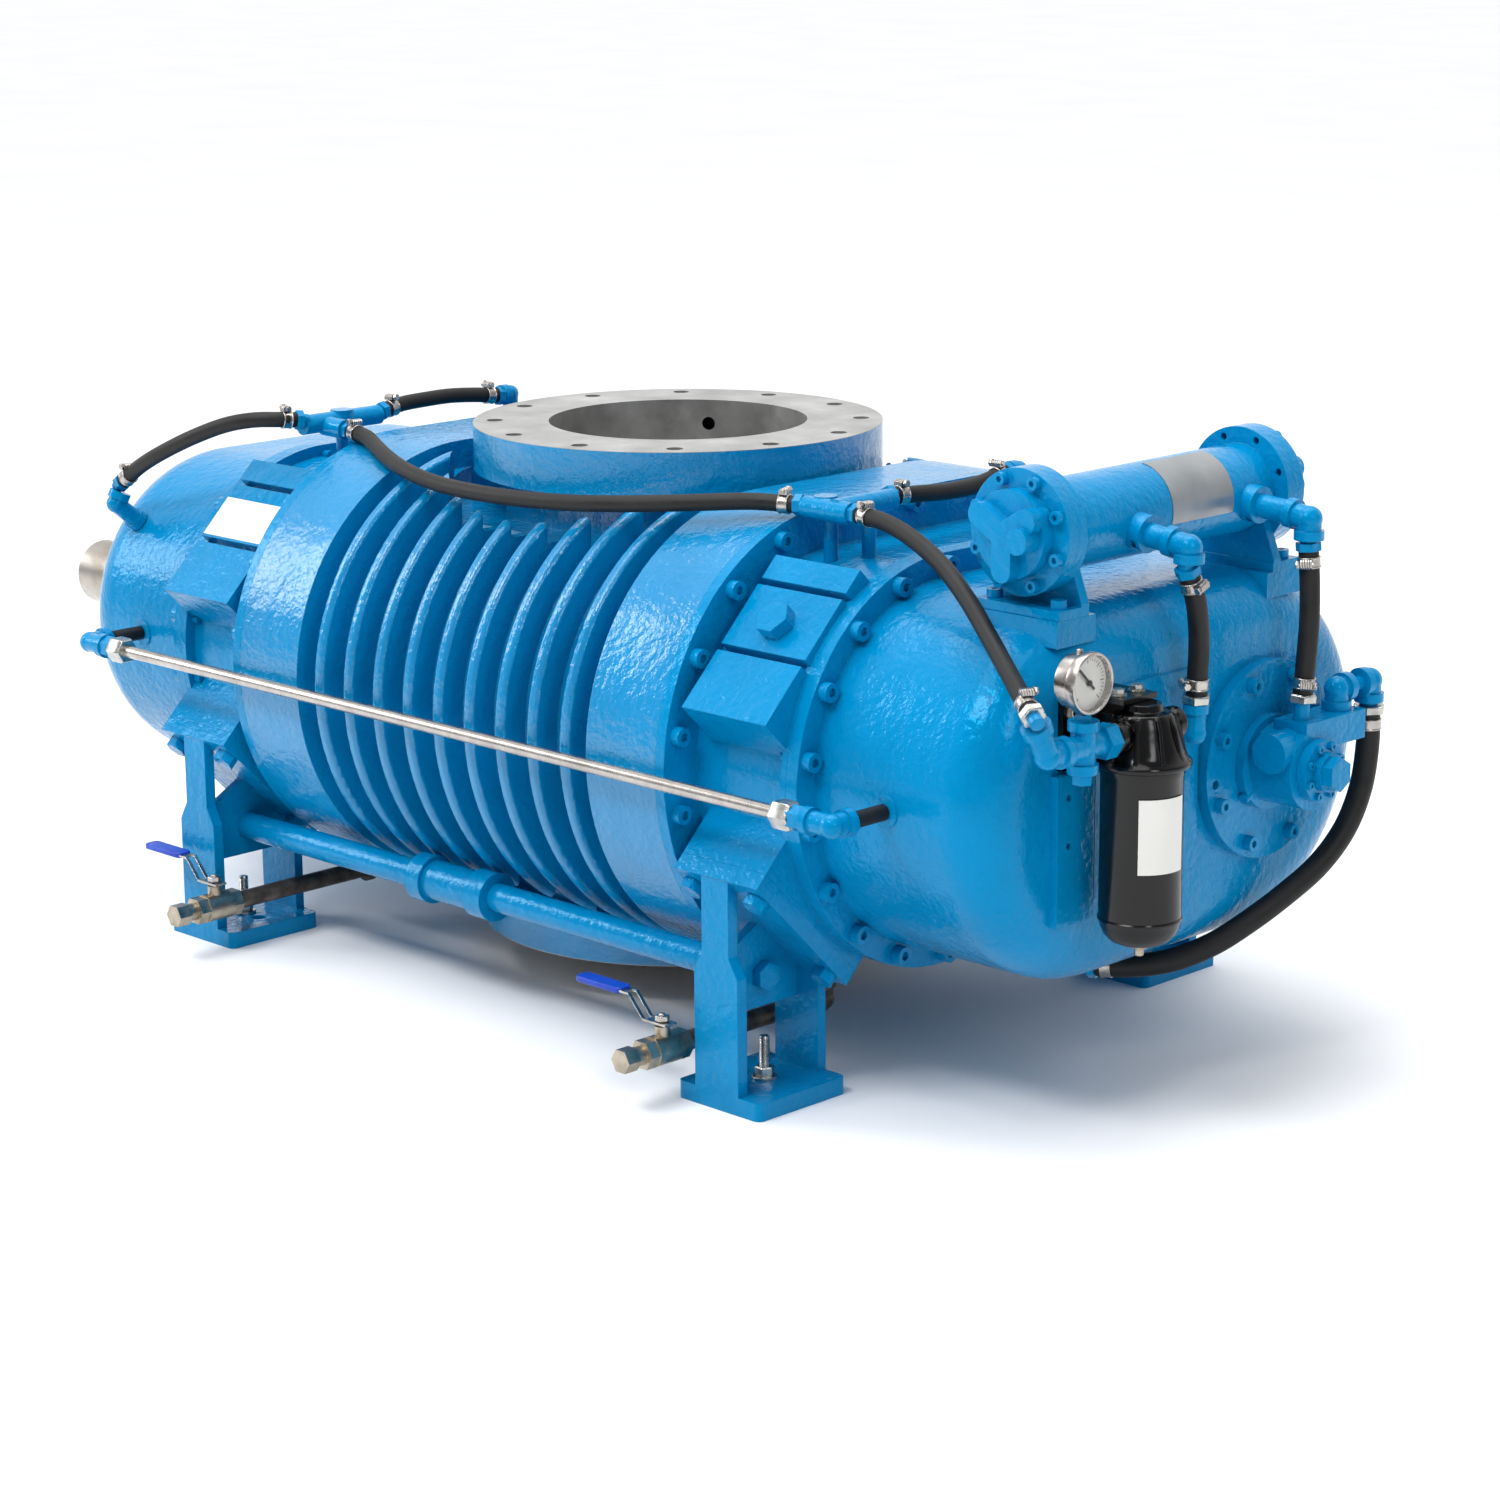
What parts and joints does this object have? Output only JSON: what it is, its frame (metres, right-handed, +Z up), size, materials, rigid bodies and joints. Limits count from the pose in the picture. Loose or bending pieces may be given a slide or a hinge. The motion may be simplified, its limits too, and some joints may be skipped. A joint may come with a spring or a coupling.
{
  "type": "supercharger",
  "caption": "Foot-mounted rotary lobe supercharger with finned casing, flanged ducts, timing gears, oil pump, cooler, filter and hoses.",
  "frame": {"origin": "on the floor plane, at the centre of the four foundation bolt holes", "axes": "+X along the shafts towards the gear and oil pump end, Y across the two rotors, +Z up through the inlet flange"},
  "size_m": [1.887, 0.8633, 0.698],
  "materials": {
    "casing_paint": "gloss blue enamel over cast iron, flange faces and ducts left bare",
    "machine_blue": "gloss blue enamel, slight orange peel",
    "zinc": "zinc plated",
    "gloss_black": "gloss black enamel",
    "stainless": "satin stainless",
    "gauge_glass": "clear",
    "needle_black": "matt black",
    "copper": "plain",
    "plate_white": "satin, blank",
    "hose_rubber": "matt, dusty",
    "black_pipe": "black iron pipe",
    "nickel_brass": "nickel plated, worn",
    "bearing_steel": "ground",
    "rotor_iron": "machined",
    "machined_steel": "turned"
  },
  "bodies": {
    "blower": {"casing": "casing_paint", "gear_end_plate": "machine_blue", "drive_end_plate": "machine_blue", "gear_cover": "machine_blue", "drive_cover": "machine_blue", "casing_screws": "machine_blue", "foot_near_gear": "machine_blue", "foot_near_drive": "machine_blue", "foot_far_gear": "machine_blue", "foot_far_drive": "machine_blue", "foot_bolts": "machine_blue", "levelling_screws": "zinc", "tie_tubes": "machine_blue", "tie_couplings": "machine_blue", "hex_plugs": "machine_blue", "inspection_plate": "machine_blue", "small_screws": "machine_blue", "pump_body": "machine_blue", "pump_end_cover": "machine_blue", "filter_head": "gloss_black", "filter_bowl": "gloss_black", "filter_bracket": "gloss_black", "gauge_case": "stainless", "gauge_glass": "gauge_glass", "cooler_shell": "machine_blue", "cooler_caps": "machine_blue", "cooler_tube_bundle": "copper", "cooler_brackets": "machine_blue", "blank_plates": "plate_white", "hose_drive_cover": "hose_rubber", "hose_drive_bearing": "hose_rubber", "hose_crossover": "hose_rubber", "hose_filter_feed": "hose_rubber", "hose_gear_bearing": "hose_rubber", "hose_cooler_return": "hose_rubber", "hose_cooler_feed": "hose_rubber", "hose_pump_suction": "hose_rubber", "hose_clamps": "stainless", "oil_manifolds": "machine_blue", "hose_fittings": "machine_blue", "side_oil_tube": "stainless", "side_tube_fittings": "machine_blue", "drain_pipes": "black_pipe", "drain_valve_bodies": "nickel_brass", "bearing_outer_rings": "bearing_steel", "shaft_seals": "bearing_steel"},
    "drive_line": {"drive_rotor": "rotor_iron", "drive_shaft": "machined_steel", "drive_timing_gear": "machined_steel", "drive_gear_key": "machined_steel", "drive_bearing_rings": "bearing_steel"},
    "driven_line": {"driven_rotor": "rotor_iron", "driven_shaft": "machined_steel", "driven_timing_gear": "machined_steel", "driven_gear_key": "machined_steel", "driven_bearing_rings": "bearing_steel", "pump_drive_gear": "machined_steel"},
    "pump_idler": {"pump_idler_gear": "machined_steel"},
    "needle": {"gauge_needle": "needle_black"},
    "drive_lever": {"drive_drain_lever": "stainless"},
    "gear_lever": {"gear_drain_lever": "stainless"}
  },
  "joints": [
    {"name": "drive_shaft_spin", "type": "hinge", "parent": "blower", "child": "drive_line", "pos_m": [0, -0.123, 0.35], "axis": [1, 0, 0], "continuous": true},
    {"name": "driven_shaft_spin", "type": "hinge", "parent": "blower", "child": "driven_line", "pos_m": [0, 0.123, 0.35], "axis": [1, 0, 0], "continuous": true},
    {"name": "pump_idler_spin", "type": "hinge", "parent": "blower", "child": "pump_idler", "pos_m": [0.8275, 0.095, 0.35], "axis": [1, 0, 0], "continuous": true},
    {"name": "gauge_needle_swing", "type": "hinge", "parent": "blower", "child": "needle", "pos_m": [0.848, -0.258, 0.507], "axis": [1, 0, 0], "range_deg": [-180, 90], "stiffness_Nm_per_rad": 0.002},
    {"name": "drive_lever_turn", "type": "hinge", "parent": "blower", "child": "drive_lever", "pos_m": [-0.392, -0.411, 0.09], "axis": [0, 0, 1], "range_deg": [0, 90]},
    {"name": "gear_lever_turn", "type": "hinge", "parent": "blower", "child": "gear_lever", "pos_m": [0.392, -0.411, 0.09], "axis": [0, 0, 1], "range_deg": [0, 90]}
  ],
  "couplings": [
    {"joint": "driven_shaft_spin", "follows": "drive_shaft_spin", "ratio": -1},
    {"joint": "pump_idler_spin", "follows": "drive_shaft_spin", "ratio": 1}
  ]
}
